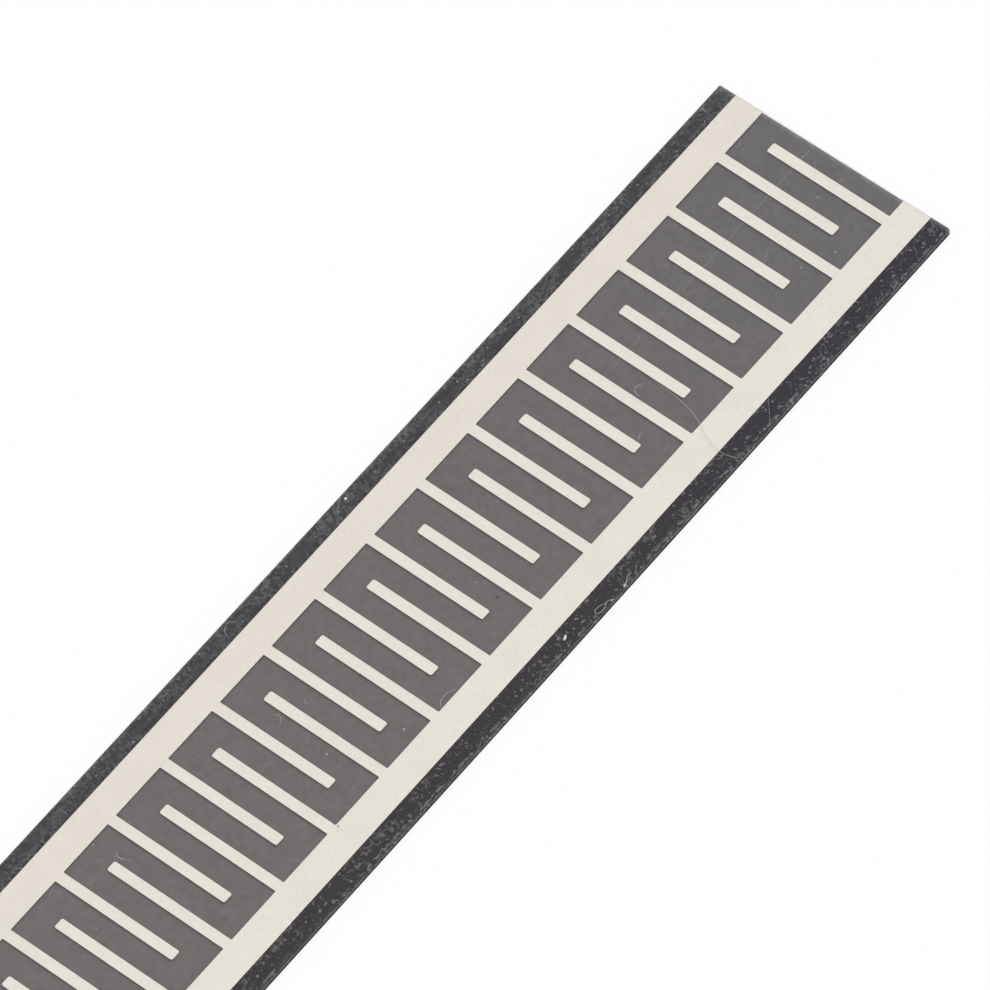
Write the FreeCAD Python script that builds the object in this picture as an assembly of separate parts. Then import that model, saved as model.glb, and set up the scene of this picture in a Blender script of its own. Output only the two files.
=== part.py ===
import FreeCAD, Part
import os
from math import floor, sin, tan

from FreeCAD import Vector

# A force sensing resistor of the strip kind, lying face up. Two clear films are held a
# hair apart by adhesive rails along their edges. The upper film carries two silver
# combs, whose fingers interleave without touching, and the lower one is coated with carbon.
# Pressing brings the combs down on the carbon, which bridges them: the harder, the better.
# +X runs along the strip to the end where it was cut through, +Y to the side with the
# narrower rim, and +Z up out of the clear face. All sizes are in millimetres.

# Laminate, from the bottom up
rear_adhesive_thickness = 0.051
film_thickness = 0.102
carbon_thickness = 0.012
silver_thickness = 0.012
spacer_thickness = 0.089  # from film to film, so both inks lie within it

# Strip, from the cut end to the shoulder where the tail starts
strip_width = 15.24
sensing_length = 100.0
closed_end_length = 5.0
shoulder_corner_radius = 0.8
cut_slant = 0.12  # the cut isn't quite square: it leaves the left edge this much shorter
left_cut_corner_radius = 0.05
right_cut_corner_radius = 0.2

# Silver combs: each is a bus along one edge with its row of fingers
narrow_rim = 1.06
wide_rim = 1.32
bus_width = 1.78
finger_width = 0.65
finger_pitch = 2.12  # to the next finger, which grows from the other bus
first_finger = 1.6  # from the cut's far corner to the first finger's middle
tip_gap = 1.66
tip_radius = 0.12
root_radius = 0.06

# Spacer rails, and the slot that lets the air between the films in and out
rail_width = 2.54
gap_corner_radius = 1.0
vent_width = 0.8

# Tail, with the two traces that lead to the solder tabs
tail_width = 7.62
tail_length = 12.7
tail_corner_radius = 0.5
bare_tail_length = 5.0  # upper film alone, so that the tabs can grip it
trace_width = 1.2
trace_end_margin = 0.4
trace_corner_radius = 0.3
neck_setback = 1.0  # the neck's outer edge starts this much later than its inner one
neck_bend_radius = 1.0

# Solder tabs: folded from sheet, with claws that pierce the film and close on top of it
tab_pitch = 2.54
tab_thickness = 0.15
crimp_width = 1.8
crimp_end_margin = 0.5
claw_count = 4
claw_length = 0.7
claw_pitch = 0.8
claw_overreach = 0.35  # past the tab's middle line
slit_clearance = 0.02
tab_taper_length = 0.6
pin_width = 0.8
pin_reach = 5.0
pin_point_length = 0.5
pin_point_width = 0.4

# Heights
lower_film_z = rear_adhesive_thickness
carbon_z = lower_film_z + film_thickness
carbon_top_z = carbon_z + carbon_thickness
upper_film_z = carbon_z + spacer_thickness
silver_z = upper_film_z - silver_thickness
face_z = upper_film_z + film_thickness

# Places along the strip, with the origin at the middle of the whole part
overall_length = sensing_length + closed_end_length + tail_length + pin_reach
cut_x = overall_length / 2
gap_end_x = cut_x - sensing_length
shoulder_x = gap_end_x - closed_end_length
tail_end_x = shoulder_x - tail_length
cover_end_x = tail_end_x + bare_tail_length
trace_end_x = tail_end_x + trace_end_margin
pin_end_x = tail_end_x - pin_reach
crimp_back_x = tail_end_x + crimp_end_margin
crimp_front_x = crimp_back_x + claw_count * claw_pitch

# Places across it: the left side is the one towards +Y
LEFT, RIGHT = 1, -1
half_width = strip_width / 2
bus_outer_y = {LEFT: half_width - narrow_rim, RIGHT: wide_rim - half_width}
bus_inner_y = {side: bus_outer_y[side] - side * bus_width for side in (LEFT, RIGHT)}
tip_y = {side: bus_inner_y[-side] + side * tip_gap for side in (LEFT, RIGHT)}
finger_start = {RIGHT: first_finger, LEFT: first_finger + finger_pitch}
cut_corner_radius = {LEFT: left_cut_corner_radius, RIGHT: right_cut_corner_radius}


def in_plan(z):
    """Puts a drawing point on the level plane at height z."""
    return lambda u, v: Vector(u, v, z)


def across(x):
    """Puts a drawing point on the upright plane across the strip at x."""
    return lambda u, v: Vector(x, u, v)


def rounded_face(corners, place):
    """A flat face through corners of (u, v, radius), with an arc wherever a radius isn't 0."""
    points = [place(u, v) for u, v, _ in corners]
    arcs = []
    runs = []
    for i, (_, _, radius) in enumerate(corners):
        here = points[i]
        back = (points[i - 1] - here).normalize()
        ahead = (points[(i + 1) % len(points)] - here).normalize()
        if radius == 0:
            runs.append((here, here))
            arcs.append(None)
            continue
        half_angle = back.getAngle(ahead) / 2
        setback = radius / tan(half_angle)
        start = here + back * setback
        end = here + ahead * setback
        bisector = (back + ahead).normalize()
        middle = here + bisector * (radius / sin(half_angle) - radius)
        runs.append((start, end))
        arcs.append(Part.Arc(start, middle, end).toShape())
    edges = []
    for i, arc in enumerate(arcs):
        if arc:
            edges.append(arc)
        edges.append(Part.makeLine(runs[i][1], runs[(i + 1) % len(runs)][0]))
    return Part.Face(Part.Wire(edges))


def layer(corners, low, high):
    """A flat layer between two heights, cut to an outline."""
    return rounded_face(corners, in_plan(low)).extrude(Vector(0, 0, high - low))


def mirrored(upper_half):
    """A whole outline from its half at positive v."""
    return upper_half + [(u, -v, radius) for u, v, radius in reversed(upper_half)]


def on_cut(y, radius=0):
    """A corner on the line of the cut."""
    return (cut_x - cut_slant * (y + half_width) / strip_width, y, radius)


def cut_corner(side):
    """The corner that the cut leaves on one side of the strip."""
    return on_cut(side * half_width, cut_corner_radius[side])


def cut_strip(upper_half):
    """A whole layer's outline from the rest of its left half, closed by the plain cut."""
    return [cut_corner(LEFT)] + mirrored(upper_half) + [cut_corner(RIGHT)]


def shoulder(side):
    """The two corners of the step from the strip's edge in to the tail's."""
    return [
        (shoulder_x, side * half_width, shoulder_corner_radius),
        (shoulder_x, side * tail_width / 2, shoulder_corner_radius),
    ]


def rear_adhesive():
    """The adhesive under the strip, which leaves the tail bare."""
    return layer(cut_strip(shoulder(LEFT)[:1]), 0, lower_film_z)


def covered_outline():
    """The strip with its tail, as far as the lower film covers the traces."""
    return cut_strip(shoulder(LEFT) + [(cover_end_x, tail_width / 2, 0)])


def bottom_film():
    """The lower film."""
    return layer(covered_outline(), lower_film_z, carbon_z)


def carbon_layer():
    """The carbon coat, all over the lower film and cut out with it."""
    return layer(covered_outline(), carbon_z, carbon_top_z)


def finger_middles(side):
    """Where one comb's fingers cross the strip's length, from the cut end on."""
    last = sensing_length - first_finger
    count = floor((last - finger_start[side]) / (2 * finger_pitch)) + 1
    return [cut_x - finger_start[side] - 2 * finger_pitch * i for i in range(count)]


def silver_comb(side):
    """One electrode: its bus and fingers, and the neck and trace that lead down the tail."""
    outer = bus_outer_y[side]
    inner = bus_inner_y[side]
    tip = tip_y[side]
    trace_inner = side * (tab_pitch - trace_width) / 2
    trace_outer = side * (tab_pitch + trace_width) / 2
    corners = [on_cut(outer), on_cut(inner)]
    for middle in finger_middles(side):
        near = middle + finger_width / 2
        far = middle - finger_width / 2
        corners += [
            (near, inner, root_radius),
            (near, tip, tip_radius),
            (far, tip, tip_radius),
            (far, inner, root_radius),
        ]
    corners += [
        (gap_end_x, inner, neck_bend_radius),
        (shoulder_x, trace_inner, neck_bend_radius),
        (trace_end_x, trace_inner, trace_corner_radius),
        (trace_end_x, trace_outer, trace_corner_radius),
        (shoulder_x - neck_setback, trace_outer, neck_bend_radius),
        (gap_end_x - neck_setback, outer, neck_bend_radius),
    ]
    return layer(corners, silver_z, upper_film_z)


def spacer_rail(side, comb):
    """One side's adhesive: along the edge, round the closed end to the vent and down the tail.
    The comb's bus, neck and trace sink into its top."""
    corners = [
        cut_corner(side),
        on_cut(side * (half_width - rail_width)),
        (gap_end_x, side * (half_width - rail_width), gap_corner_radius),
        (gap_end_x, side * vent_width / 2, 0),
        (cover_end_x, side * vent_width / 2, 0),
        (cover_end_x, side * tail_width / 2, 0),
        *reversed(shoulder(side)),
    ]
    return layer(corners, carbon_top_z, upper_film_z).cut(comb)


def claws(side):
    """Each claw's near end along the strip and the side of the tab it grows from, in turn."""
    start = crimp_front_x - (claw_pitch - claw_length) / 2
    return [(start - i * claw_pitch, LEFT if i % 2 == 0 else RIGHT) for i in range(claw_count)]


def solder_tab(side):
    """One folded tab: a floor under the film, its claws, and a flat pin that tapers to a point."""
    middle = side * tab_pitch / 2
    top = silver_z
    bottom = top - tab_thickness
    floor_half = crimp_width / 2 - tab_thickness
    plan = mirrored([
        (crimp_front_x, floor_half, 0),
        (crimp_back_x, floor_half, 0),
        (crimp_back_x - tab_taper_length, pin_width / 2, 0),
        (pin_end_x + pin_point_length, pin_width / 2, 0),
        (pin_end_x, pin_point_width / 2, 0),
    ])
    plan = [(u, v + middle, radius) for u, v, radius in plan]
    tab = layer(plan, bottom, top)
    claw_top = face_z + tab_thickness
    for near, hand in claws(side):
        wall_outer = middle + hand * crimp_width / 2
        wall_inner = middle + hand * floor_half
        claw_tip = middle - hand * claw_overreach
        bend = tab_thickness
        section = [
            (middle, bottom, 0),
            (wall_outer, bottom, bend),
            (wall_outer, claw_top, bend),
            (claw_tip, claw_top, 0),
            (claw_tip, face_z, 0),
            (wall_inner, face_z, 0),
            (wall_inner, top, 0),
            (middle, top, 0),
        ]
        claw = rounded_face(section, across(near)).extrude(Vector(-claw_length, 0, 0))
        tab = tab.fuse(claw)
    return tab.removeSplitter()


def top_film():
    """The clear upper film, slit where the tabs' claws come through."""
    tail_corner = (tail_end_x, tail_width / 2, tail_corner_radius)
    film = layer(cut_strip(shoulder(LEFT) + [tail_corner]), upper_film_z, face_z)
    for side in (LEFT, RIGHT):
        middle = side * tab_pitch / 2
        for near, hand in claws(side):
            outer = crimp_width / 2 + slit_clearance
            inner = crimp_width / 2 - tab_thickness - slit_clearance
            far = near - claw_length
            slit = [
                (near + slit_clearance, middle + hand * outer, 0),
                (near + slit_clearance, middle + hand * inner, 0),
                (far - slit_clearance, middle + hand * inner, 0),
                (far - slit_clearance, middle + hand * outer, 0),
            ]
            film = film.cut(layer(slit, upper_film_z, face_z))
    return film


def build():
    """Every sub-part by its node's name."""
    comb_left = silver_comb(LEFT)
    comb_right = silver_comb(RIGHT)
    return {
        "rear_adhesive": rear_adhesive(),
        "bottom_film": bottom_film(),
        "carbon_layer": carbon_layer(),
        "spacer_rail_left": spacer_rail(LEFT, comb_left),
        "spacer_rail_right": spacer_rail(RIGHT, comb_right),
        "silver_comb_left": comb_left,
        "silver_comb_right": comb_right,
        "top_film": top_film(),
        "solder_tab_left": solder_tab(LEFT),
        "solder_tab_right": solder_tab(RIGHT),
    }


os.makedirs("parts", exist_ok=True)
for node, shape in build().items():
    shape.exportStep(f"parts/{node}.step")
    print(node, len(shape.Solids), "solid", round(shape.Volume, 3), "mm3")
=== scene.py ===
"""Looks of a force sensing resistor strip: its films, prints, adhesives, tabs and dust."""

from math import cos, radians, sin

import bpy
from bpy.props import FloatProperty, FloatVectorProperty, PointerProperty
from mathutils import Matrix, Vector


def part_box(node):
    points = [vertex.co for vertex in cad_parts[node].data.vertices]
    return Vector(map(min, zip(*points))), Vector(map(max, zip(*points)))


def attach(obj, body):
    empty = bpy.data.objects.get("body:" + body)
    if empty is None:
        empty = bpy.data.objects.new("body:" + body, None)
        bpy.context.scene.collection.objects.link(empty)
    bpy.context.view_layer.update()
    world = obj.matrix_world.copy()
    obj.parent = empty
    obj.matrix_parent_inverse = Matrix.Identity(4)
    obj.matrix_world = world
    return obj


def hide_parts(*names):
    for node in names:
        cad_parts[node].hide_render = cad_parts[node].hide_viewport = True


bl_info = {
    "name": "Force Sensing Resistor Strip",
    "version": (1, 0, 0),
    "blender": (4, 5, 0),
    "location": "View3D > Sidebar > Force Sensor",
    "description": "Dresses the laminated sensor strip and sets its studio",
    "category": "Object",
}

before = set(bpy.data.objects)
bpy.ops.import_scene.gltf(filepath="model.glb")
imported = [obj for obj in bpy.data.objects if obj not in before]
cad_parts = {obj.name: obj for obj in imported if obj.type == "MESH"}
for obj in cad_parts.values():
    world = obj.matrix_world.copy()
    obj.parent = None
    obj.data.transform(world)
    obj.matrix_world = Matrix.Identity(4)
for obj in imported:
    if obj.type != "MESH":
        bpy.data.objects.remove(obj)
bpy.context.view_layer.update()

MM = 0.001
PER_MM = 1000.0  # object coordinates are metres, and the patterns are drawn in millimetres


def box_mm(node):
    """A CAD node's lowest and highest corners, in millimetres."""
    return tuple(Vector(corner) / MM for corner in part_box(node))


FILM_LOW, FILM_HIGH = box_mm("top_film")
LEFT_COMB_LOW, LEFT_COMB_HIGH = box_mm("silver_comb_left")
RIGHT_COMB_LOW, RIGHT_COMB_HIGH = box_mm("silver_comb_right")
FACE_Z = FILM_HIGH.z
CUT_X = FILM_HIGH.x
LEFT_Y = FILM_HIGH.y
RIGHT_Y = FILM_LOW.y
LEFT_SILVER_Y = LEFT_COMB_HIGH.y
RIGHT_SILVER_Y = RIGHT_COMB_LOW.y
LEFT_RIM = LEFT_Y - LEFT_SILVER_Y
RIGHT_RIM = RIGHT_SILVER_Y - RIGHT_Y

# Small measures, in millimetres
CUT_SLANT = 0.12  # the cut lies this much farther back at the narrow rim's edge than at the other
FILM_LIFT = 0.002  # clears the prints by a hair, so that no two faces share a place
NEAR = 0.001  # corners nearer to the film's underside than this belong to it
WELD = 0.0005  # corners nearer to each other than this are one
TAB_EASING = 0.02
FLOOR_GAP = 0.02
CARBON_DRIFT = 45.0  # from the cut to where the carbon has taken on its warm shade
RIM_DRIFT = 50.0
DUSTY_STRETCH = 45.0  # from the cut to where the face is cleanest

# Dust: how high it lies and how uneven it is
FIBRE_RISE = 0.4  # a fibre's middle above the face, as a share of its thickness
FIBRE_END = 0.5  # thickness at a fibre's ends, as a share of the rest
CRUMB_RISE = 0.2  # a speck's middle above the face, as a share of its width
CRUMB_HEIGHT = 0.6  # a speck's height, as a share of its width
CRUMB_UNEVENNESS = 0.12  # how far its corners stray, on a crumb of 1 mm

# How strongly each kind of wear covers the clear face
FINE_DOT_COVER = 0.6
LINT_COVER = 0.15
LINE_COVER = 0.09
GRIT_COVER = 0.26
SCRATCH_COVER = 0.15
DASH_COVER = 0.20
CUT_WALL_COVER = 0.10

# The tabs' edges
FLAT_WITHIN = radians(0.5)
SHARP_FROM = radians(35.0)
SMOOTH_UP_TO = radians(40.0)

# Surfaces and light
LEVEL_FROM = 0.5  # a face whose normal's Z is more than this is level, and any other is a wall
HEAD_ON_MIRROR = 0.046  # mirror share of the film seen from well above, where its haze stands for it
WHITE = (1.0, 1.0, 1.0, 1.0)
PAPER = (0.9, 0.9, 0.9, 1.0)
BACKING_SHADES = ((0.020, 0.019, 0.020, 1.0), (0.050, 0.047, 0.046, 1.0))
TACK_SHADES = ((0.045, 0.043, 0.040, 1.0), (0.130, 0.124, 0.112, 1.0))
TIN_SHADES = ((0.56, 0.55, 0.53, 1.0), (0.74, 0.73, 0.71, 1.0))
FLOOR_SIZE = 2.0
FLOOR_WHITE = 0.9  # share of plain white in the floor where it is seen
SUN_SPREAD = radians(30.0)
SUN_HEIGHT = radians(30.0)
SUN_HEADING = radians(22.0)

# Dust on the clear face. Places are millimetres from the cut end and from the narrow rim's edge.
# Each fibre: its thickness, then the run that it follows.
PALE_FIBRES = (
    (0.022, ((16.88, 8.50), (16.93, 9.58), (17.02, 10.42), (17.12, 11.05), (17.32, 11.68),
             (17.53, 12.10), (17.88, 12.74), (18.11, 13.26), (18.24, 13.68), (18.27, 14.10),
             (18.24, 14.42), (18.09, 14.84), (17.88, 15.16))),
    (0.024, ((17.34, 8.29), (17.53, 8.24), (17.69, 8.10), (17.90, 8.13), (18.06, 8.26),
             (18.14, 8.53), (18.12, 8.76))),
    (0.022, ((19.79, 9.97), (19.95, 10.08), (20.16, 10.16), (20.29, 10.17))),
    (0.028, ((28.61, 15.20), (28.73, 15.14), (28.89, 14.99), (29.06, 14.95), (29.27, 15.07),
             (29.57, 15.13), (29.86, 15.05), (29.98, 14.93), (29.81, 14.78), (29.52, 14.80),
             (29.27, 14.91), (29.10, 14.97))),
    (0.016, ((26.23, 14.70), (26.45, 14.88), (26.77, 15.07))),
    (0.022, ((32.12, 14.56), (32.23, 14.49), (32.26, 14.28), (32.19, 14.07))),
    (0.016, ((41.54, 0.60), (41.64, 0.35), (41.89, 0.22), (42.19, 0.25), (42.44, 0.45),
             (42.54, 0.70), (42.54, 0.85))),
    (0.020, ((37.88, 12.08), (38.21, 11.82), (38.61, 11.79), (39.01, 11.87), (39.21, 12.11))),
    (0.018, ((43.04, 6.20), (43.19, 6.40), (43.29, 6.60))),
    (0.016, ((43.30, 6.30), (43.19, 6.42), (43.09, 6.55))),
    (0.020, ((44.82, 5.50), (44.61, 5.66), (44.61, 5.90), (44.82, 6.10), (45.09, 6.20))),
    (0.022, ((55.94, 4.25), (56.20, 4.45), (56.09, 4.80), (55.89, 5.25))),
    (0.020, ((56.30, 4.30), (56.12, 4.62), (56.22, 4.95))),
    (0.020, ((2.29, 3.05), (2.49, 3.20), (2.69, 3.15), (2.79, 3.05))),
    (0.012, ((0.69, 6.65), (1.10, 7.08), (1.59, 7.50))),
    (0.011, ((6.89, 8.40), (7.30, 8.58), (7.69, 8.75))),
    (0.010, ((14.12, 14.00), (14.46, 14.28), (14.99, 14.75), (15.46, 15.18))),
    (0.020, ((23.69, 13.98), (24.05, 14.06), (24.49, 14.22))),
    (0.014, ((10.30, 14.90), (10.55, 14.78), (10.80, 14.86))),
    (0.014, ((24.60, 14.95), (24.95, 14.90), (25.30, 14.98))),
)
TAN_FIBRES = (
    (0.026, ((26.86, 14.87), (27.06, 14.85), (27.23, 14.87), (27.40, 14.99), (27.56, 15.07),
             (27.71, 15.12), (27.87, 15.17))),
)
DARK_FIBRES = (
    (0.022, ((28.44, 4.10), (28.54, 4.35), (28.69, 4.50))),
)
# Each speck: its place, length and width, and its turn in degrees.
PALE_SPECKS = (
    (4.82, 11.28, 0.09, 0.06, 30.0),
    (4.91, 11.60, 0.05, 0.04, 0.0), (6.69, 10.45, 0.09, 0.05, 65.0), (1.06, 8.78, 0.05, 0.05, 0.0),
    (2.12, 7.58, 0.05, 0.04, 90.0), (2.69, 8.45, 0.07, 0.05, 45.0), (2.89, 11.15, 0.06, 0.04, 20.0),
    (8.74, 10.08, 0.04, 0.04, 0.0), (10.79, 4.70, 0.04, 0.04, 0.0), (10.94, 4.80, 0.04, 0.03, 0.0),
    (32.19, 8.90, 0.07, 0.05, 35.0), (37.29, 6.75, 0.05, 0.04, 0.0), (39.24, 5.45, 0.06, 0.05, 0.0),
    (56.39, 3.05, 0.08, 0.06, 0.0),
    (0.31, 4.30, 0.10, 0.04, 10.0), (0.30, 5.30, 0.09, 0.04, 0.0), (1.14, 6.26, 0.07, 0.05, 30.0),
    (0.68, 7.39, 0.05, 0.04, 0.0), (0.31, 7.63, 0.05, 0.04, 0.0), (0.86, 8.42, 0.04, 0.03, 0.0),
    (0.31, 9.99, 0.08, 0.04, 0.0), (2.93, 4.86, 0.05, 0.04, 0.0), (2.05, 5.24, 0.05, 0.03, 0.0),
    (60.09, 6.30, 0.06, 0.06, 0.0), (14.79, 14.35, 0.10, 0.04, 40.0), (0.45, 0.30, 0.06, 0.04, 0.0),
    (2.49, 0.82, 0.06, 0.05, 0.0), (4.86, 0.80, 0.08, 0.06, 90.0), (10.20, 0.42, 0.05, 0.05, 0.0),
    (28.80, 15.12, 0.16, 0.08, 10.0),
)
TAN_SPECKS = (
    (27.71, 15.10, 0.20, 0.16, 20.0),
)
WHITE_SPECKS = (
    (32.06, 14.59, 0.36, 0.14, 22.0), (32.32, 0.36, 0.17, 0.14, 0.0),
    (41.39, 11.40, 0.09, 0.08, 0.0), (44.94, 9.20, 0.09, 0.07, 0.0),
)
DARK_SPECKS = (
    (32.24, 10.30, 0.10, 0.09, 0.0), (40.19, 7.60, 0.16, 0.06, 15.0),
    (47.92, 12.32, 0.09, 0.07, 0.0),
)


# Sizes and colours that a user would change

class PrintSettings(bpy.types.PropertyGroup):
    """Colours of the two prints and of the adhesive that shows beside them."""

    silver: FloatVectorProperty(
        name="Silver print",
        description="Cream colour of the silver combs",
        subtype="COLOR",
        default=(0.783, 0.736, 0.667),
    )
    silver_warm: FloatVectorProperty(
        name="Silver print, warm side",
        description="Colour that the silver drifts to along the narrow rim",
        subtype="COLOR",
        default=(0.762, 0.708, 0.634),
    )
    carbon: FloatVectorProperty(
        name="Carbon coat",
        description="Grey of the carbon seen across the air gap",
        subtype="COLOR",
        default=(0.1187, 0.1097, 0.1127),
    )
    carbon_warm: FloatVectorProperty(
        name="Carbon coat, far from the cut",
        description="Grey that the carbon drifts to along the strip",
        subtype="COLOR",
        default=(0.1302, 0.1162, 0.1132),
    )
    adhesive: FloatVectorProperty(
        name="Stuck-down rim",
        description="Near black of the rims, where adhesive wets the carbon",
        subtype="COLOR",
        default=(0.0120, 0.0098, 0.0178),
    )
    adhesive_warm: FloatVectorProperty(
        name="Adhesive, warm",
        description="Colour of the adhesive far from the cut and along the narrow rim",
        subtype="COLOR",
        default=(0.0170, 0.0130, 0.0145),
    )
    silvering: FloatVectorProperty(
        name="Silvering",
        description="Pale grey of the spots that the adhesive hasn't wetted",
        subtype="COLOR",
        default=(0.165, 0.160, 0.160),
    )
    silvering_cool: FloatVectorProperty(
        name="Silvering, cool",
        description="Bluish grey of the streak along the narrow rim's middle",
        subtype="COLOR",
        default=(0.125, 0.148, 0.166),
    )


class FilmSettings(bpy.types.PropertyGroup):
    """Wear of the clear face, and its painted highlights and painted reflection."""

    gloss_roughness: FloatProperty(
        name="Gloss roughness",
        description="How blurred the clear face mirrors its surroundings",
        subtype="FACTOR",
        default=0.09,
        min=0.0,
        max=1.0,
    )
    # This colour also paints the highlights along the film's edges and its haze of painted
    # reflection.
    dust: FloatVectorProperty(
        name="Dust",
        description="Colour of dust, scratches and the cut film's edge",
        subtype="COLOR",
        default=(0.615, 0.605, 0.620),
    )
    dust_cover: FloatProperty(
        name="Dust cover",
        description="How solid the specks of dust look",
        subtype="FACTOR",
        default=0.28,
        min=0.0,
        max=1.0,
    )
    # The haze is a painted reflection: an even, pale diffuse cover that stands for the film
    # mirroring its surroundings when seen from above.
    haze: FloatProperty(
        name="Haze",
        description="Share of the light that the film's surface scatters",
        default=0.062,
        min=0.0,
        max=1.0,
    )
    fibre: FloatVectorProperty(
        name="Fibres",
        description="Colour of the pale lint that lies on the face",
        subtype="COLOR",
        default=(0.50, 0.50, 0.51),
    )
    white: FloatVectorProperty(
        name="White specks",
        description="Colour of the few near-white crumbs",
        subtype="COLOR",
        default=(0.76, 0.71, 0.64),
    )
    tan: FloatVectorProperty(
        name="Tan fibre",
        description="Colour of the one tan fibre and its speck",
        subtype="COLOR",
        default=(0.56, 0.46, 0.37),
    )
    dark: FloatVectorProperty(
        name="Dark specks",
        description="Colour of the few dark specks",
        subtype="COLOR",
        default=(0.035, 0.033, 0.033),
    )


class StageSettings(bpy.types.PropertyGroup):
    """The studio and the camera."""

    distance: FloatProperty(
        name="Camera distance",
        description="From the camera to the point that it looks at",
        subtype="DISTANCE",
        unit="LENGTH",
        default=0.65841,
    )
    lens: FloatProperty(
        name="Focal length",
        description="Focal length on a 36 mm sensor",
        subtype="DISTANCE_CAMERA",
        default=461.84,
    )
    azimuth: FloatProperty(
        name="Azimuth",
        description="Direction that the camera looks in, from +X towards +Y",
        subtype="ANGLE",
        default=radians(40.3816),
    )
    elevation: FloatProperty(
        name="Elevation",
        description="How steeply the camera looks down",
        subtype="ANGLE",
        default=radians(58.076),
    )
    roll: FloatProperty(
        name="Roll",
        description="Turn of the camera about its own axis",
        subtype="ANGLE",
        default=radians(-2.5703),
    )
    target: FloatVectorProperty(
        name="Target",
        description="Point under the strip that the camera looks at",
        subtype="TRANSLATION",
        unit="LENGTH",
        default=(0.034079, 0.001389, 0.0),
        precision=5,
    )
    world_light: FloatProperty(
        name="World light",
        description="Strength of the even light from all round",
        default=0.79,
        min=0.0,
    )
    key_light: FloatProperty(
        name="Key light",
        description="Strength of the soft sun from behind the strip",
        default=1.55,
        min=0.0,
    )


# Helpers for node trees

def add(tree, kind, inputs=None, **settings):
    """Adds a node, sets its values and links whatever input is given as a socket."""
    node = tree.nodes.new(kind)
    for name, value in settings.items():
        setattr(node, name, value)
    for name, value in (inputs or {}).items():
        if isinstance(value, bpy.types.NodeSocket):
            tree.links.new(value, node.inputs[name])
        else:
            node.inputs[name].default_value = value
    return node


def calc(tree, operation, first, second=0.0, third=0.0, clamp=False):
    """The result of one Math node."""
    values = {0: first, 1: second, 2: third}
    return add(tree, "ShaderNodeMath", values, operation=operation, use_clamp=clamp).outputs[0]


def times(tree, product, *factors):
    """The product of masks and numbers."""
    for factor in factors:
        product = calc(tree, "MULTIPLY", product, factor)
    return product


def most(tree, greatest, *masks):
    """The greatest of several masks."""
    for mask in masks:
        greatest = calc(tree, "MAXIMUM", greatest, mask)
    return greatest


def varied(tree, base, by, amount):
    """base, with amount times the pattern that varies it added."""
    return calc(tree, "MULTIPLY_ADD", by, amount, base)


def fade(tree, value, start, end, low=0.0, high=1.0):
    """A smooth step from low at start to high at end."""
    ranges = {"Value": value, "From Min": start, "From Max": end, "To Min": low, "To Max": high}
    return add(tree, "ShaderNodeMapRange", ranges, interpolation_type="SMOOTHSTEP").outputs[0]


def part(tree, vector, axis):
    """One coordinate of a vector."""
    return add(tree, "ShaderNodeSeparateXYZ", {"Vector": vector}).outputs[axis]


def blend_colours(tree, share, first, second):
    """first where share is 0 and second where it is 1."""
    mix = tree.nodes.new("ShaderNodeMix")
    mix.data_type = "RGBA"
    for socket, value in ((mix.inputs[0], share), (mix.inputs[6], first), (mix.inputs[7], second)):
        if isinstance(value, bpy.types.NodeSocket):
            tree.links.new(value, socket)
        else:
            socket.default_value = value
    return mix.outputs[2]


def scaled(tree, colour, factor):
    """A colour times a number."""
    values = {0: colour, "Scale": factor}
    return add(tree, "ShaderNodeVectorMath", values, operation="SCALE").outputs[0]


def rgba(colour):
    """A colour property with full alpha."""
    return (*colour, 1.0)


def new_group(name, sockets_in, sockets_out):
    """An empty shader group with its interface, and its input and output nodes."""
    group = bpy.data.node_groups.new(name, "ShaderNodeTree")
    for label, kind, value in sockets_in:
        socket = group.interface.new_socket(label, in_out="INPUT", socket_type=kind)
        if value is not None:
            socket.default_value = value
    for label, kind in sockets_out:
        group.interface.new_socket(label, in_out="OUTPUT", socket_type=kind)
    return group, group.nodes.new("NodeGroupInput"), group.nodes.new("NodeGroupOutput")


def place_mm(tree, stretch=(1.0, 1.0, 1.0), shift=(0.0, 0.0, 0.0)):
    """Object coordinates in millimetres, stretched and shifted for one pattern."""
    source = add(tree, "ShaderNodeTexCoord").outputs["Object"]
    scale = tuple(PER_MM * s for s in stretch)
    mapping = {"Vector": source, "Scale": scale, "Location": shift}
    return add(tree, "ShaderNodeMapping", mapping).outputs[0]


# Shader groups that several finishes share

def flecks_group():
    """Sparse round specks: one in some cells of a grid, none in the others."""
    sockets = [
        ("Vector", "NodeSocketVector", None),
        ("Cells", "NodeSocketFloat", 2.0),
        ("Share", "NodeSocketFloat", 0.2),
        ("Radius", "NodeSocketFloat", 0.12),
    ]
    group, given, result = new_group("flecks", sockets, [("Mask", "NodeSocketFloat")])
    cells = add(group, "ShaderNodeTexVoronoi", {
        "Vector": given.outputs["Vector"],
        "Scale": given.outputs["Cells"],
    })
    chosen = add(group, "ShaderNodeSeparateColor", {"Color": cells.outputs["Color"]})
    kept = calc(group, "LESS_THAN", chosen.outputs[0], given.outputs["Share"])
    reach = times(group, varied(group, 0.3, chosen.outputs[1], 0.7), given.outputs["Radius"])
    dot = fade(group, calc(group, "DIVIDE", cells.outputs["Distance"], reach), 1.0, 0.45)
    strength = varied(group, 0.4, chosen.outputs[2], 0.6)
    group.links.new(times(group, dot, kept, strength), result.inputs["Mask"])
    return group


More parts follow.
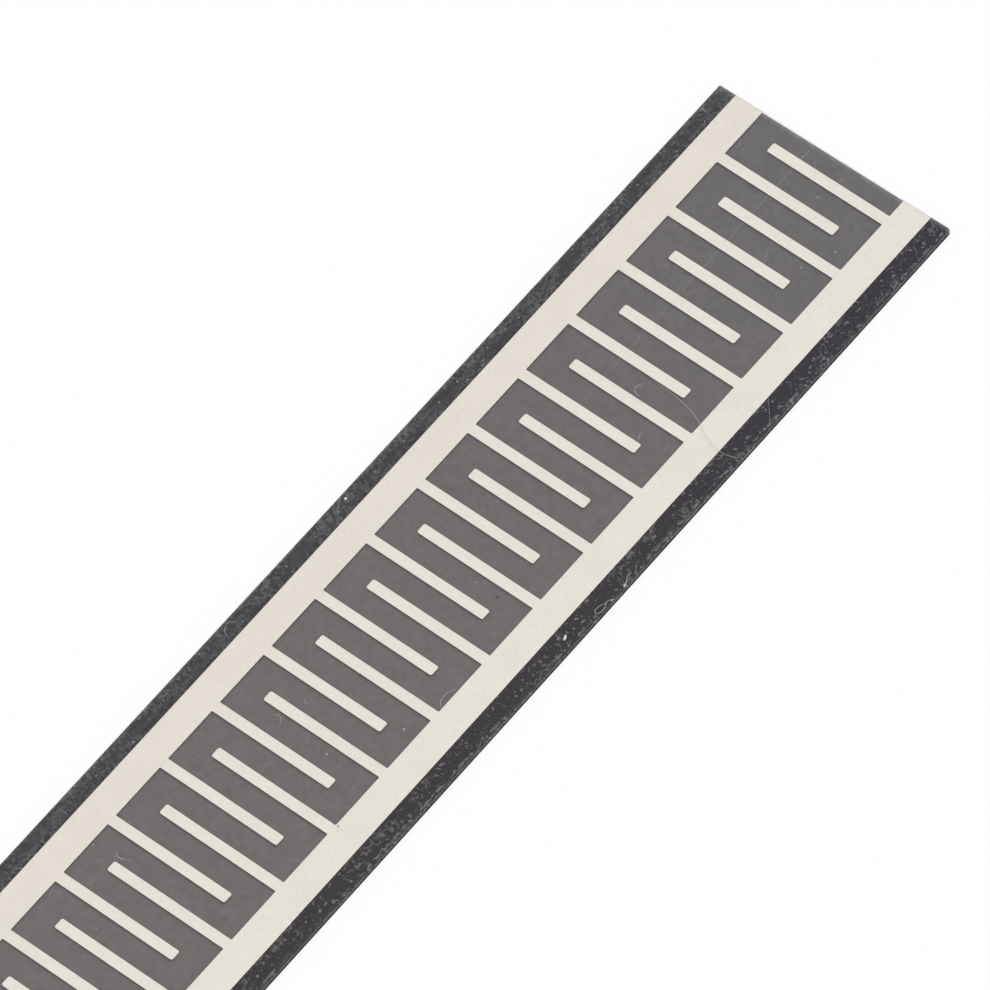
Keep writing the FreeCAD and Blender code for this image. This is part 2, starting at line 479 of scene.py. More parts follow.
def curls_group():
    """Short curly strokes: broken contour lines of a soft noise."""
    sockets = [
        ("Vector", "NodeSocketVector", None),
        ("Cells", "NodeSocketFloat", 2.0),
        ("Width", "NodeSocketFloat", 0.03),
        ("Share", "NodeSocketFloat", 0.5),
    ]
    group, given, result = new_group("curls", sockets, [("Mask", "NodeSocketFloat")])
    swirl = add(group, "ShaderNodeTexNoise", {
        "Vector": given.outputs["Vector"],
        "Scale": given.outputs["Cells"],
        "Detail": 1.0,
        "Roughness": 0.5,
        "Distortion": 0.9,
    })
    off_line = calc(group, "ABSOLUTE", calc(group, "SUBTRACT", swirl.outputs[0], 0.5))
    line = fade(group, calc(group, "DIVIDE", off_line, given.outputs["Width"]), 1.0, 0.2)
    elsewhere = add(group, "ShaderNodeVectorMath", {
        0: given.outputs["Vector"],
        1: (31.7, 12.9, 0.0),
    }, operation="ADD").outputs[0]
    breaks = add(group, "ShaderNodeTexNoise", {
        "Vector": elsewhere,
        "Scale": times(group, given.outputs["Cells"], 1.3),
        "Detail": 2.0,
    })
    floor = varied(group, 0.70, given.outputs["Share"], -0.42)
    kept = fade(group, breaks.outputs[0], floor, calc(group, "ADD", floor, 0.09))
    group.links.new(times(group, line, kept), result.inputs["Mask"])
    return group


def blotches_group():
    """Ragged spots of all shapes: wherever a rough noise rises above a level."""
    sockets = [
        ("Vector", "NodeSocketVector", None),
        ("Cells", "NodeSocketFloat", 7.0),
        ("Level", "NodeSocketFloat", 0.6),
        ("Blur", "NodeSocketFloat", 0.12),
    ]
    group, given, result = new_group("blotches", sockets, [("Mask", "NodeSocketFloat")])
    noise = add(group, "ShaderNodeTexNoise", {
        "Vector": given.outputs["Vector"],
        "Scale": given.outputs["Cells"],
        "Detail": 1.2,
        "Roughness": 0.5,
        "Distortion": 0.7,
    })
    full = calc(group, "ADD", given.outputs["Level"], given.outputs["Blur"])
    mask = fade(group, noise.outputs[0], given.outputs["Level"], full)
    group.links.new(mask, result.inputs["Mask"])
    return group


def grain_group():
    """Fine grain over a slower drift, as a number about 0."""
    sockets = [
        ("Vector", "NodeSocketVector", None),
        ("Grain", "NodeSocketFloat", 12.0),
        ("Drift", "NodeSocketFloat", 0.6),
        ("Drift share", "NodeSocketFloat", 0.5),
    ]
    group, given, result = new_group("grain", sockets, [("Value", "NodeSocketFloat")])
    layers = []
    for scale, detail in (("Grain", 1.0), ("Drift", 2.0)):
        noise = add(group, "ShaderNodeTexNoise", {
            "Vector": given.outputs["Vector"],
            "Scale": given.outputs[scale],
            "Detail": detail,
        })
        layers.append(calc(group, "SUBTRACT", noise.outputs[0], 0.5))
    fine = times(group, layers[0], calc(group, "SUBTRACT", 1.0, given.outputs["Drift share"]))
    slow = times(group, layers[1], given.outputs["Drift share"])
    group.links.new(calc(group, "ADD", fine, slow), result.inputs["Value"])
    return group


def scratches_group():
    """Thin straight scratches along X, one in some lanes, each fading out at its ends."""
    sockets = [
        ("Vector", "NodeSocketVector", None),
        ("Lanes", "NodeSocketFloat", 1.5),
        ("Width", "NodeSocketFloat", 0.02),
        ("Share", "NodeSocketFloat", 0.3),
    ]
    group, given, result = new_group("scratches", sockets, [("Mask", "NodeSocketFloat")])
    lanes = add(group, "ShaderNodeTexVoronoi", {
        "Vector": given.outputs["Vector"],
        "Scale": given.outputs["Lanes"],
        "Randomness": 0.9,
    }, feature="F1")
    picks = add(group, "ShaderNodeSeparateColor", {"Color": lanes.outputs["Color"]})
    offset = add(group, "ShaderNodeVectorMath", {
        0: given.outputs["Vector"],
        1: lanes.outputs["Position"],
    }, operation="SUBTRACT")
    from_middle = add(group, "ShaderNodeSeparateXYZ", {"Vector": offset.outputs[0]})
    off_line = calc(group, "ABSOLUTE", from_middle.outputs["Y"])
    line = fade(group, calc(group, "DIVIDE", off_line, given.outputs["Width"]), 1.0, 0.3)
    ends = fade(group, calc(group, "ABSOLUTE", from_middle.outputs["X"]), 0.42, 0.15)
    kept = calc(group, "LESS_THAN", picks.outputs[0], given.outputs["Share"])
    group.links.new(times(group, line, ends, kept), result.inputs["Mask"])
    return group


GROUP_MAKERS = {
    "flecks": flecks_group,
    "curls": curls_group,
    "blotches": blotches_group,
    "grain": grain_group,
    "scratches": scratches_group,
}


def pattern(tree, name, place, **inputs):
    """One shared pattern, placed in a material with its own values."""
    group = bpy.data.node_groups.get(name) or GROUP_MAKERS[name]()
    values = {label.replace("_", " "): value for label, value in inputs.items()}
    return add(tree, "ShaderNodeGroup", {"Vector": place, **values}, node_tree=group).outputs[0]


# Helpers for materials

def new_finish(name):
    """An empty material, its tree and its output node."""
    material = bpy.data.materials.new(name)
    material.use_nodes = True
    tree = material.node_tree
    tree.nodes.clear()
    return material, tree, tree.nodes.new("ShaderNodeOutputMaterial")


def show(tree, result, values):
    """Makes a Principled shader with these values the material's surface."""
    shader = add(tree, "ShaderNodeBsdfPrincipled", values)
    tree.links.new(shader.outputs[0], result.inputs["Surface"])


def give(node, material):
    """Puts a material on a CAD node."""
    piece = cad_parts[node]
    if not piece.material_slots:
        piece.data.materials.append(material)
    for slot in piece.material_slots:
        slot.material = material


def bump_normal(tree, height, distance, strength):
    """A normal from a height in millimetres."""
    values = {"Height": height, "Distance": distance * MM, "Strength": strength}
    return add(tree, "ShaderNodeBump", values).outputs[0]


def is_wall(tree, facing):
    """1 on side walls and 0 on level faces, from the Z of the normal."""
    return calc(tree, "LESS_THAN", calc(tree, "ABSOLUTE", facing), LEVEL_FROM)


def upright(tree):
    """1 on side walls and 0 on level faces."""
    normal = tree.nodes.new("ShaderNodeNewGeometry").outputs["Normal"]
    return is_wall(tree, part(tree, normal, "Z"))


def patches(tree, along, across, low, high, shift=0.0):
    """Where marks gather, from a noise stretched along the strip."""
    place = place_mm(tree, (along, across, 1.0), (shift, 2.0 * shift, 0.0))
    noise = add(tree, "ShaderNodeTexNoise", {"Vector": place, "Scale": 1.0, "Detail": 2.0})
    return fade(tree, noise.outputs[0], low, high)


# Finishes

def silver_finish(prints):
    """Matte cream print: fine screen grain, a slow drift, warmer along the narrow rim."""
    material, tree, result = new_finish("silver_print")
    place = place_mm(tree)
    warm = fade(tree, part(tree, place, "Y"), LEFT_SILVER_Y - 3.4, LEFT_SILVER_Y - 1.2)
    base = blend_colours(tree, warm, rgba(prints.silver), rgba(prints.silver_warm))
    grain = pattern(tree, "grain", place, Grain=4.5, Drift=0.45, Drift_share=0.35)
    show(tree, result, {
        "Base Color": scaled(tree, base, varied(tree, 1.0, grain, 0.24)),
        "Roughness": varied(tree, 0.62, grain, 0.3),
        "Normal": bump_normal(tree, grain, 0.004, 0.35),
    })
    return material


def carbon_finish(prints):
    """Matte grey coat: mottled, with faint pale curls, and a slow drift along the strip."""
    material, tree, result = new_finish("carbon_coat")
    place = place_mm(tree)
    along = fade(tree, part(tree, place, "X"), CUT_X, CUT_X - CARBON_DRIFT)
    base = blend_colours(tree, along, rgba(prints.carbon), rgba(prints.carbon_warm))
    grain = pattern(tree, "grain", place, Grain=3.2, Drift=0.8, Drift_share=0.25)
    wisps = pattern(tree, "curls", place, Cells=0.8, Width=0.05, Share=0.35)
    tone = varied(tree, varied(tree, 1.0, grain, 0.60), wisps, 0.08)
    show(tree, result, {
        "Base Color": scaled(tree, base, tone),
        "Roughness": varied(tree, 0.72, grain, 0.25),
        "Specular IOR Level": 0.2,
        "Normal": bump_normal(tree, grain, 0.003, 0.3),
    })
    return material


def show_rim(tree, result, prints, warmth, tone, marks, cool=0.0):
    """Stuck-down adhesive: near black, paler by the marks of air left under the film."""
    dark = blend_colours(tree, warmth, rgba(prints.adhesive), rgba(prints.adhesive_warm))
    pale = blend_colours(tree, cool, rgba(prints.silvering), rgba(prints.silvering_cool))
    show(tree, result, {
        "Base Color": blend_colours(tree, tone, dark, pale),
        "Roughness": varied(tree, 0.5, marks, 0.3),
        "Specular IOR Level": 0.0,
    })


def wide_rim_finish(prints):
    """Near black, with clusters of curls and spots beside the silver and loose spots elsewhere."""
    material, tree, result = new_finish("wide_rim")
    place = place_mm(tree)
    warmth = fade(tree, part(tree, place, "X"), CUT_X, CUT_X - RIM_DRIFT)
    gathered = patches(tree, 0.5, 1.0, 0.46, 0.62)
    curls = pattern(tree, "curls", place, Cells=1.25, Width=0.060, Share=0.8)
    spots = pattern(tree, "blotches", place, Cells=4.4, Level=0.60, Blur=0.06)
    elsewhere = place_mm(tree, shift=(7.0, 3.0, 0.0))
    strewn = pattern(tree, "blotches", elsewhere, Cells=4.6, Level=0.64, Blur=0.05)
    flecks = pattern(tree, "flecks", place, Cells=3.2, Share=0.30, Radius=0.34)
    clusters = times(tree, most(tree, times(tree, curls, 0.5), times(tree, spots, 0.75)), gathered)
    marks = most(tree, clusters, times(tree, strewn, 0.7), flecks)
    show_rim(tree, result, prints, warmth, marks, marks)
    return material


def narrow_rim_finish(prints):
    """Dark grey all over, finely speckled, with a bluish streak along its middle."""
    material, tree, result = new_finish("narrow_rim")
    place = place_mm(tree)
    inward = calc(tree, "SUBTRACT", LEFT_Y, part(tree, place, "Y"))
    middle = times(tree, fade(tree, inward, 0.42, 0.60), fade(tree, inward, 0.86, 0.72))
    beside_silver = fade(tree, inward, 0.82, 0.94)
    at_cut = fade(tree, part(tree, place, "X"), CUT_X - 1.0, CUT_X - 0.6, 0.0, 0.14)

    gathered = patches(tree, 0.35, 1.3, 0.25, 0.60, 5.0)
    speckle = pattern(tree, "blotches", place, Cells=4.6, Level=0.50, Blur=0.15)
    strokes = pattern(tree, "curls", place, Cells=2.0, Width=0.09, Share=0.7)
    flecks = pattern(tree, "flecks", place, Cells=3.6, Share=0.26, Radius=0.34)
    marks = most(tree, times(tree, strokes, 0.8), speckle)
    marks = times(tree, marks, gathered, varied(tree, 0.56, middle, -0.20))
    marks = most(tree, marks, flecks)

    streaks = add(tree, "ShaderNodeTexNoise", {
        "Vector": place_mm(tree, (0.10, 1.0, 1.0)),
        "Scale": 4.5,
        "Detail": 1.5,
    }).outputs[0]
    haze = varied(tree, 0.035, fade(tree, streaks, 0.35, 0.70), 0.08)
    haze = varied(tree, haze, middle, 0.05)
    haze = times(tree, haze, varied(tree, 1.0, beside_silver, -0.6))

    tone = calc(tree, "ADD", haze, marks, clamp=True)
    tone = calc(tree, "ADD", tone, at_cut, clamp=True)
    warmth = varied(tree, 0.9, middle, -0.9)
    show_rim(tree, result, prints, warmth, tone, marks, times(tree, middle, 0.8))
    return material


def film_dust(tree, place, from_cut, over_rims, dust_cover):
    """Dots, lint and scratches, densest near the cut, and grit over the rims."""
    dots = pattern(tree, "flecks", place, Cells=1.7, Share=0.12, Radius=0.11)
    fine_dots = pattern(tree, "flecks", place, Cells=4.5, Share=0.08, Radius=0.22)
    lint = pattern(tree, "curls", place, Cells=0.7, Width=0.006, Share=0.1)
    drawn_out = place_mm(tree, (0.06, 1.0, 1.0))
    lines = pattern(tree, "scratches", drawn_out, Lanes=0.8, Width=0.014, Share=0.4)
    dust = most(
        tree,
        dots,
        times(tree, fine_dots, FINE_DOT_COVER),
        times(tree, lint, LINT_COVER),
        times(tree, lines, LINE_COVER),
    )
    dust = times(tree, dust, fade(tree, from_cut, DUSTY_STRETCH, 0.0, 0.35, 1.0), dust_cover)
    elsewhere = place_mm(tree, shift=(3.0, 9.0, 0.0))
    grit = pattern(tree, "flecks", elsewhere, Cells=2.6, Share=0.30, Radius=0.26)
    return most(tree, dust, times(tree, grit, over_rims, GRIT_COVER))


def long_scratch(tree, y, from_cut):
    """One fine scratch that runs along the strip from the cut and fades out."""
    off_line = calc(tree, "SUBTRACT", y, varied(tree, 1.31, from_cut, -0.0055))
    line = fade(tree, calc(tree, "ABSOLUTE", off_line), 0.032, 0.008)
    return times(tree, line, fade(tree, from_cut, 40.0, 4.0), SCRATCH_COVER)


def edge_dashes(tree, from_right):
    """Short pale dashes in a broken row, a little inside the wide rim's edge."""
    drawn_out = place_mm(tree, (0.6, 1.0, 1.0))
    dashes = pattern(tree, "blotches", drawn_out, Cells=4.5, Level=0.50, Blur=0.08)
    row = times(tree, fade(tree, from_right, 0.12, 0.17), fade(tree, from_right, 0.31, 0.24))
    return times(tree, dashes, row, patches(tree, 0.25, 0.2, 0.30, 0.55, 11.0), DASH_COVER)


def edge_highlights(tree, from_left, from_right):
    """Painted highlights: pale, uneven lines along the long edges, where the blade has rolled them
    over.
    """
    right = fade(tree, from_right, 0.15, 0.09)
    left = fade(tree, from_left, 0.24, 0.04, 0.0, 1.8)
    drawn_out = place_mm(tree, (0.7, 1.0, 1.0))
    uneven = pattern(tree, "blotches", drawn_out, Cells=3.0, Level=0.42, Blur=0.2)
    return times(tree, most(tree, right, left), varied(tree, 0.012, uneven, 0.045))


def cut_highlight(tree, place, from_cut):
    """Painted highlight: a paler, ragged band along the cut."""
    ragged = pattern(tree, "blotches", place, Cells=2.4, Level=0.35, Blur=0.3)
    band = fade(tree, from_cut, 0.40, 0.02, 0.0, 0.20)
    return times(tree, band, varied(tree, 0.5, ragged, 0.6))


def clear_film_finish(film):
    """Clear, glossy film: it mirrors by Fresnel, and dust, scratches and cut edges cover it, with
    painted highlights along its edges and an even haze of painted reflection.
    """
    material, tree, result = new_finish("clear_film")
    place = place_mm(tree)
    y = part(tree, place, "Y")
    cut_x = varied(tree, CUT_X - CUT_SLANT / 2, y, -CUT_SLANT / (LEFT_Y - RIGHT_Y))
    from_cut = calc(tree, "SUBTRACT", cut_x, part(tree, place, "X"))
    from_left = calc(tree, "SUBTRACT", LEFT_Y, y)
    from_right = calc(tree, "SUBTRACT", y, RIGHT_Y)
    over_rims = most(
        tree,
        fade(tree, from_left, LEFT_RIM, LEFT_RIM - 0.06),
        fade(tree, from_right, RIGHT_RIM, RIGHT_RIM - 0.06),
    )
    # Dust, scratches and dashes, with the painted highlights along the long edges.
    wear_and_sheen = most(
        tree,
        film_dust(tree, place, from_cut, over_rims, film.dust_cover),
        long_scratch(tree, y, from_cut),
        edge_dashes(tree, from_right),
        edge_highlights(tree, from_left, from_right),
    )
    # Painted light: the painted highlight along the cut, added to the even haze, which is a painted
    # reflection.
    haze = calc(tree, "ADD", cut_highlight(tree, place, from_cut), film.haze)

    geometry = tree.nodes.new("ShaderNodeNewGeometry")
    outside = calc(tree, "SUBTRACT", 1.0, geometry.outputs["Backfacing"])
    facing = part(tree, geometry.outputs["Normal"], "Z")
    upper_face = times(tree, calc(tree, "GREATER_THAN", facing, LEVEL_FROM), outside)
    cover = times(tree, calc(tree, "ADD", wear_and_sheen, haze), upper_face)
    cover = most(tree, cover, times(tree, is_wall(tree, facing), CUT_WALL_COVER))

    clear = add(tree, "ShaderNodeBsdfTransparent", {"Color": WHITE})
    gloss = add(tree, "ShaderNodeBsdfGlossy", {"Color": WHITE, "Roughness": film.gloss_roughness})
    fresnel = add(tree, "ShaderNodeFresnel", {"IOR": 1.5}).outputs[0]
    mirrored = times(tree, calc(tree, "SUBTRACT", fresnel, HEAD_ON_MIRROR, clamp=True), outside)
    bare = add(tree, "ShaderNodeMixShader", {0: mirrored, 1: clear.outputs[0], 2: gloss.outputs[0]})
    # Diffuse cover for the dust and scratches, which also paints the edge highlights and the haze of
    # painted reflection.
    dust_and_sheen = add(tree, "ShaderNodeBsdfPrincipled", {
        "Base Color": rgba(film.dust),
        "Roughness": 0.8,
        "Specular IOR Level": 0.0,
    })
    shader = add(tree, "ShaderNodeMixShader", {0: cover, 1: bare.outputs[0], 2: dust_and_sheen.outputs[0]})
    tree.links.new(shader.outputs[0], result.inputs["Surface"])
    return material


def backing_finish():
    """The lower film: glossy and dark from the carbon coat on it, and rough where it is cut."""
    material, tree, result = new_finish("backing_film")
    grain = pattern(tree, "grain", place_mm(tree), Grain=3.0, Drift=0.3, Drift_share=0.6)
    drawn_out = place_mm(tree, (0.08, 1.0, 1.0))
    streaks = pattern(tree, "scratches", drawn_out, Lanes=0.9, Width=0.02, Share=0.5)
    tone = calc(tree, "MULTIPLY_ADD", streaks, 0.15, varied(tree, 0.5, grain, 0.5), clamp=True)
    show(tree, result, {
        "Base Color": blend_colours(tree, tone, *BACKING_SHADES),
        "Roughness": varied(tree, varied(tree, 0.25, grain, 0.2), upright(tree), 0.5),
        "Specular IOR Level": 0.3,
    })
    return material


def tack_finish():
    """Rear adhesive: hazy and softly rippled over the dark film, with trapped bubbles."""
    material, tree, result = new_finish("rear_tack")
    ripples = add(tree, "ShaderNodeTexNoise", {
        "Vector": place_mm(tree, (0.35, 1.0, 1.0)),
        "Scale": 1.6,
        "Detail": 3.0,
    }).outputs[0]
    bubbles = pattern(tree, "flecks", place_mm(tree), Cells=2.4, Share=0.3, Radius=0.22)
    wall = upright(tree)
    tone = varied(tree, ripples, bubbles, 0.6)
    tone = calc(tree, "SUBTRACT", tone, times(tree, wall, 0.6), clamp=True)
    show(tree, result, {
        "Base Color": blend_colours(tree, tone, *TACK_SHADES),
        "Roughness": varied(tree, varied(tree, 0.25, ripples, 0.3), wall, 0.4),
        "Specular IOR Level": 0.3,
        "Normal": bump_normal(tree, ripples, 0.02, 0.5),
    })
    return material


def tin_finish():
    """Tin plating: bright, rolled along the tab, slightly clouded."""
    material, tree, result = new_finish("tin_plating")
    rolled = add(tree, "ShaderNodeTexNoise", {
        "Vector": place_mm(tree, (0.12, 1.0, 1.0)),
        "Scale": 22.0,
        "Detail": 3.0,
    }).outputs[0]
    clouds = pattern(tree, "grain", place_mm(tree), Grain=7.0, Drift=1.4, Drift_share=0.6)
    tone = calc(tree, "ADD", clouds, 0.5, clamp=True)
    show(tree, result, {
        "Base Color": blend_colours(tree, tone, *TIN_SHADES),
        "Metallic": 1.0,
        "Roughness": varied(tree, varied(tree, 0.22, clouds, 0.25), rolled, 0.22),
        "Normal": bump_normal(tree, rolled, 0.004, 0.4),
    })
    return material


def speck_finish(name, colour):
    """Matte dust, each bit a little lighter or darker along its length."""
    material, tree, result = new_finish(name)
    grain = pattern(tree, "grain", place_mm(tree), Grain=9.0, Drift=2.0, Drift_share=0.5)
    show(tree, result, {
        "Base Color": scaled(tree, tuple(colour), varied(tree, 1.0, grain, 0.6)),
        "Roughness": varied(tree, 0.85, grain, 0.3),
        "Specular IOR Level": 0.2,
    })
    return material


# Helpers for new pieces

def on_face(from_cut, from_left, above):
    """A place on the clear face or a little above it, in metres."""
    return Vector((CUT_X - from_cut, LEFT_Y - from_left, FACE_Z + above)) * MM


def joined(context, pieces):
    """One mesh of several pieces, with its place in its mesh."""
    bpy.ops.object.select_all(action="DESELECT")
    for piece in pieces:
        piece.select_set(True)
    context.view_layer.objects.active = pieces[0]
    if len(pieces) > 1:
        bpy.ops.object.join()
    bpy.ops.object.transform_apply(location=True, rotation=True, scale=True)
    bpy.ops.object.shade_smooth()
    return context.active_object


def lay_fibres(context, fibres):
    """Thin round fibres that follow their runs over the face, thinning out at their ends."""
    pieces = []
    for thickness, run in fibres:
        bpy.ops.object.select_all(action="DESELECT")
        bpy.ops.curve.primitive_nurbs_path_add(location=(0.0, 0.0, 0.0))
        curve = context.active_object
        line = curve.data.splines[0]
        line.points.add(max(0, len(run) - len(line.points)))
        for i, point in enumerate(line.points):
            from_cut, from_left = run[min(i, len(run) - 1)]
            at_end = i == 0 or i >= len(run) - 1
            point.co = (*on_face(from_cut, from_left, FIBRE_RISE * thickness), 1.0)
            point.radius = FIBRE_END if at_end else 1.0
        line.order_u = 3
        line.use_endpoint_u = True
        line.resolution_u = 4
        curve.data.bevel_depth = thickness / 2 * MM
        curve.data.bevel_resolution = 1
        curve.data.use_fill_caps = True
        bpy.ops.object.convert(target="MESH")
        pieces.append(context.active_object)
    return joined(context, pieces)


def strew_specks(context, specks):
    """Flat, uneven crumbs at their places on the face."""
    pieces = []
    for seed, (from_cut, from_left, length, width, turn) in enumerate(specks):
        bpy.ops.object.select_all(action="DESELECT")
        bpy.ops.mesh.primitive_ico_sphere_add(
            subdivisions=2,
            radius=0.5 * MM,
            location=on_face(from_cut, from_left, CRUMB_RISE * width),
        )
        crumb = context.active_object
        bpy.ops.object.mode_set(mode="EDIT")
        bpy.ops.transform.vertex_random(offset=CRUMB_UNEVENNESS * MM, normal=1.0, seed=seed)
        bpy.ops.object.mode_set(mode="OBJECT")
        crumb.scale = (length, width, CRUMB_HEIGHT * width)
        crumb.rotation_euler = (0.0, 0.0, radians(turn))
        pieces.append(crumb)
    return joined(context, pieces)


def merged_copy(context, node, name):
    """A CAD node's form as one welded mesh, ready to be worked on."""
    piece = bpy.data.objects.new(name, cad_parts[node].data.copy())
    context.scene.collection.objects.link(piece)
    bpy.ops.object.select_all(action="DESELECT")
    piece.select_set(True)
    context.view_layer.objects.active = piece
    bpy.ops.object.mode_set(mode="EDIT")
    bpy.ops.mesh.select_all(action="SELECT")
    bpy.ops.mesh.remove_doubles(threshold=WELD * MM)
    bpy.ops.object.mode_set(mode="OBJECT")
    piece.data.materials.clear()
    return piece


def eased_copy(context, node, name, easing):
    """A CAD node's form with its sharp edges rounded over by a little, in millimetres."""
    piece = merged_copy(context, node, name)
    plain = piece.modifiers.new("plain_faces", "DECIMATE")
    plain.decimate_type = "DISSOLVE"
    plain.angle_limit = FLAT_WITHIN
    bpy.ops.object.modifier_apply(modifier=plain.name)
    bevel = piece.modifiers.new("easing", "BEVEL")
    bevel.width = easing * MM
    bevel.segments = 2
    bevel.limit_method = "ANGLE"
    bevel.angle_limit = SHARP_FROM
    bpy.ops.object.modifier_apply(modifier=bevel.name)
    bpy.ops.object.shade_smooth_by_angle(angle=SMOOTH_UP_TO)
    return piece


def seen_directly(tree):
    """1 to the camera, in a mirror image and through the film, and 0 for the light that it sheds."""
    rays = tree.nodes.new("ShaderNodeLightPath").outputs
    return most(tree, rays["Is Camera Ray"], rays["Is Glossy Ray"], rays["Is Transmission Ray"])


# Operators: one for each piece or group of like pieces, and one for the stage

class SENSOR_OT_stage(bpy.types.Operator):
    """Lays the floor, lights it softly from all round and from behind, and sets the camera"""

    bl_idname = "sensor.stage"
    bl_label = "Stage"

    def execute(self, context):
        stage = context.scene.sensor_stage
        self.lay_floor(context)
        self.light(context, stage)
        self.point_camera(context, stage)
        context.scene.view_settings.view_transform = "Standard"
        return {"FINISHED"}

    def lay_floor(self, context):
        bpy.ops.object.select_all(action="DESELECT")
        bpy.ops.mesh.primitive_plane_add(size=FLOOR_SIZE, location=(0.0, 0.0, -FLOOR_GAP * MM))
        floor = context.active_object
        floor.name = "floor"
        material, tree, result = new_finish("pale_floor")
        share = times(tree, seen_directly(tree), FLOOR_WHITE)
        paper = add(tree, "ShaderNodeBsdfDiffuse", {"Color": PAPER})
        white = add(tree, "ShaderNodeEmission", {"Color": WHITE, "Strength": 1.0})
        mix = add(tree, "ShaderNodeMixShader", {0: share, 1: paper.outputs[0], 2: white.outputs[0]})
        tree.links.new(mix.outputs[0], result.inputs["Surface"])
        floor.data.materials.append(material)

    def light(self, context, stage):
        world = bpy.data.worlds.new("studio")
        context.scene.world = world
        world.use_nodes = True
        tree = world.node_tree
        tree.nodes.clear()
        strength = fade(tree, seen_directly(tree), 0.0, 1.0, stage.world_light, 1.0)
        glow = add(tree, "ShaderNodeBackground", {"Color": WHITE, "Strength": strength})
        result = tree.nodes.new("ShaderNodeOutputWorld")
        tree.links.new(glow.outputs[0], result.inputs["Surface"])

        bpy.ops.object.light_add(type="SUN")
        sun = context.active_object
        sun.name = "key"
        sun.data.energy = stage.key_light
        sun.data.angle = SUN_SPREAD
        sun.visible_glossy = False  # it lights the strip, but makes no glare on the film
        level = cos(SUN_HEIGHT)
        towards = Vector((level * cos(SUN_HEADING), level * sin(SUN_HEADING), sin(SUN_HEIGHT)))
        sun.rotation_euler = towards.to_track_quat("Z", "Y").to_euler()

    def point_camera(self, context, stage):
        data = bpy.data.cameras.new("photo_view")
        data.sensor_width = 36.0
        data.lens = stage.lens
        data.clip_start = 0.01
        data.clip_end = 20.0
        camera = bpy.data.objects.new("photo_view", data)
        context.scene.collection.objects.link(camera)
        heading = stage.azimuth
        dip = stage.elevation
        look = Vector((cos(dip) * cos(heading), cos(dip) * sin(heading), -sin(dip)))
        aim = look.to_track_quat("-Z", "Y").to_matrix()
        aim = Matrix.Rotation(-stage.roll, 3, look) @ aim
        place = Vector(stage.target) - look * stage.distance
        camera.matrix_world = Matrix.Translation(place) @ aim.to_4x4()
        context.scene.camera = camera


class SENSOR_OT_prints(bpy.types.Operator):
    """Finishes the two silver combs and the carbon coat"""

    bl_idname = "sensor.prints"
    bl_label = "Silver and carbon"

    def execute(self, context):
        prints = context.scene.sensor_prints
        silver = silver_finish(prints)
        give("silver_comb_left", silver)
        give("silver_comb_right", silver)
        give("carbon_layer", carbon_finish(prints))
        return {"FINISHED"}


class SENSOR_OT_rails(bpy.types.Operator):
    """Finishes the spacer rails, which show as the dark rims"""

    bl_idname = "sensor.rails"
    bl_label = "Spacer rails"

    def execute(self, context):
        prints = context.scene.sensor_prints
        give("spacer_rail_left", narrow_rim_finish(prints))
        give("spacer_rail_right", wide_rim_finish(prints))
        return {"FINISHED"}


class SENSOR_OT_films(bpy.types.Operator):
    """Finishes the clear film on top, the dark one under it and the rear adhesive"""

    bl_idname = "sensor.films"
    bl_label = "Films and rear adhesive"

    def execute(self, context):
        film = merged_copy(context, "top_film", "clear_sheet")
        for vertex in film.data.vertices:
            if vertex.co.z < (FILM_LOW.z + NEAR) * MM:
                vertex.co.z += FILM_LIFT * MM
        film.data.materials.append(clear_film_finish(context.scene.sensor_film))
        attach(film, "root")
        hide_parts("top_film")
        give("bottom_film", backing_finish())
        give("rear_adhesive", tack_finish())
        return {"FINISHED"}


class SENSOR_OT_tabs(bpy.types.Operator):
    """Makes the two folded solder tabs, with their sheared edges eased"""

    bl_idname = "sensor.tabs"
    bl_label = "Solder tabs"

    def execute(self, context):
        tin = tin_finish()
        for side in ("left", "right"):
            node = f"solder_tab_{side}"
            tab = eased_copy(context, node, f"folded_tab_{side}", TAB_EASING)
            tab.data.materials.append(tin)
            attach(tab, "root")
            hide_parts(node)
        return {"FINISHED"}


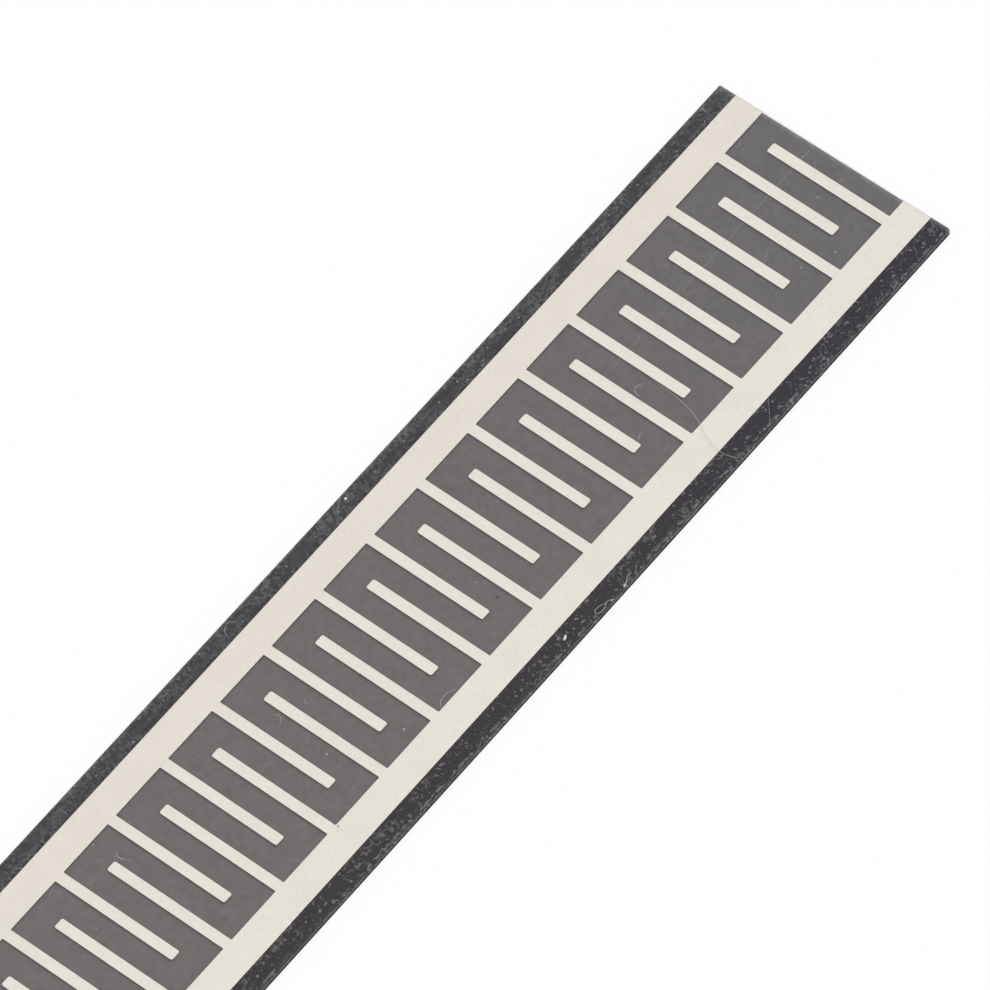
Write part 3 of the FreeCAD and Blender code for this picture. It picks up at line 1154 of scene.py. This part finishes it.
class SENSOR_OT_dust(bpy.types.Operator):
    """Scatters the lint and specks that lie on the clear face"""

    bl_idname = "sensor.dust"
    bl_label = "Dust"

    def execute(self, context):
        film = context.scene.sensor_film
        kinds = (
            ("pale", PALE_FIBRES, PALE_SPECKS, film.fibre),
            ("white", (), WHITE_SPECKS, film.white),
            ("tan", TAN_FIBRES, TAN_SPECKS, film.tan),
            ("dark", DARK_FIBRES, DARK_SPECKS, film.dark),
        )
        forms = (("fibres", lay_fibres), ("specks", strew_specks))
        for kind, fibres, specks, colour in kinds:
            material = speck_finish(f"{kind}_dust", colour)
            for (form, make), marks in zip(forms, (fibres, specks)):
                if not marks:
                    continue
                piece = make(context, marks)
                piece.name = f"{kind}_{form}"
                piece.data.materials.clear()
                piece.data.materials.append(material)
                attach(piece, "root")
        return {"FINISHED"}


STEPS = (
    SENSOR_OT_stage,
    SENSOR_OT_prints,
    SENSOR_OT_rails,
    SENSOR_OT_films,
    SENSOR_OT_tabs,
    SENSOR_OT_dust,
)


class SENSOR_PT_strip(bpy.types.Panel):
    """Lists the steps that dress the sensor strip"""

    bl_idname = "SENSOR_PT_strip"
    bl_label = "Force Sensor Strip"
    bl_space_type = "VIEW_3D"
    bl_region_type = "UI"
    bl_category = "Force Sensor"

    def draw(self, context):
        scene = context.scene
        for step in STEPS:
            self.layout.operator(step.bl_idname)
        for group in (scene.sensor_prints, scene.sensor_film, scene.sensor_stage):
            for name in group.bl_rna.properties.keys():
                if name not in {"rna_type", "name"}:
                    self.layout.prop(group, name)


CLASSES = (PrintSettings, FilmSettings, StageSettings, *STEPS, SENSOR_PT_strip)


def register():
    for cls in CLASSES:
        bpy.utils.register_class(cls)
    bpy.types.Scene.sensor_prints = PointerProperty(type=PrintSettings)
    bpy.types.Scene.sensor_film = PointerProperty(type=FilmSettings)
    bpy.types.Scene.sensor_stage = PointerProperty(type=StageSettings)


def unregister():
    del bpy.types.Scene.sensor_stage
    del bpy.types.Scene.sensor_film
    del bpy.types.Scene.sensor_prints
    for cls in reversed(CLASSES):
        bpy.utils.unregister_class(cls)


def main():
    register()
    bpy.ops.sensor.stage()
    bpy.ops.sensor.prints()
    bpy.ops.sensor.rails()
    bpy.ops.sensor.films()
    bpy.ops.sensor.tabs()
    bpy.ops.sensor.dust()


if __name__ == "__main__":
    main()
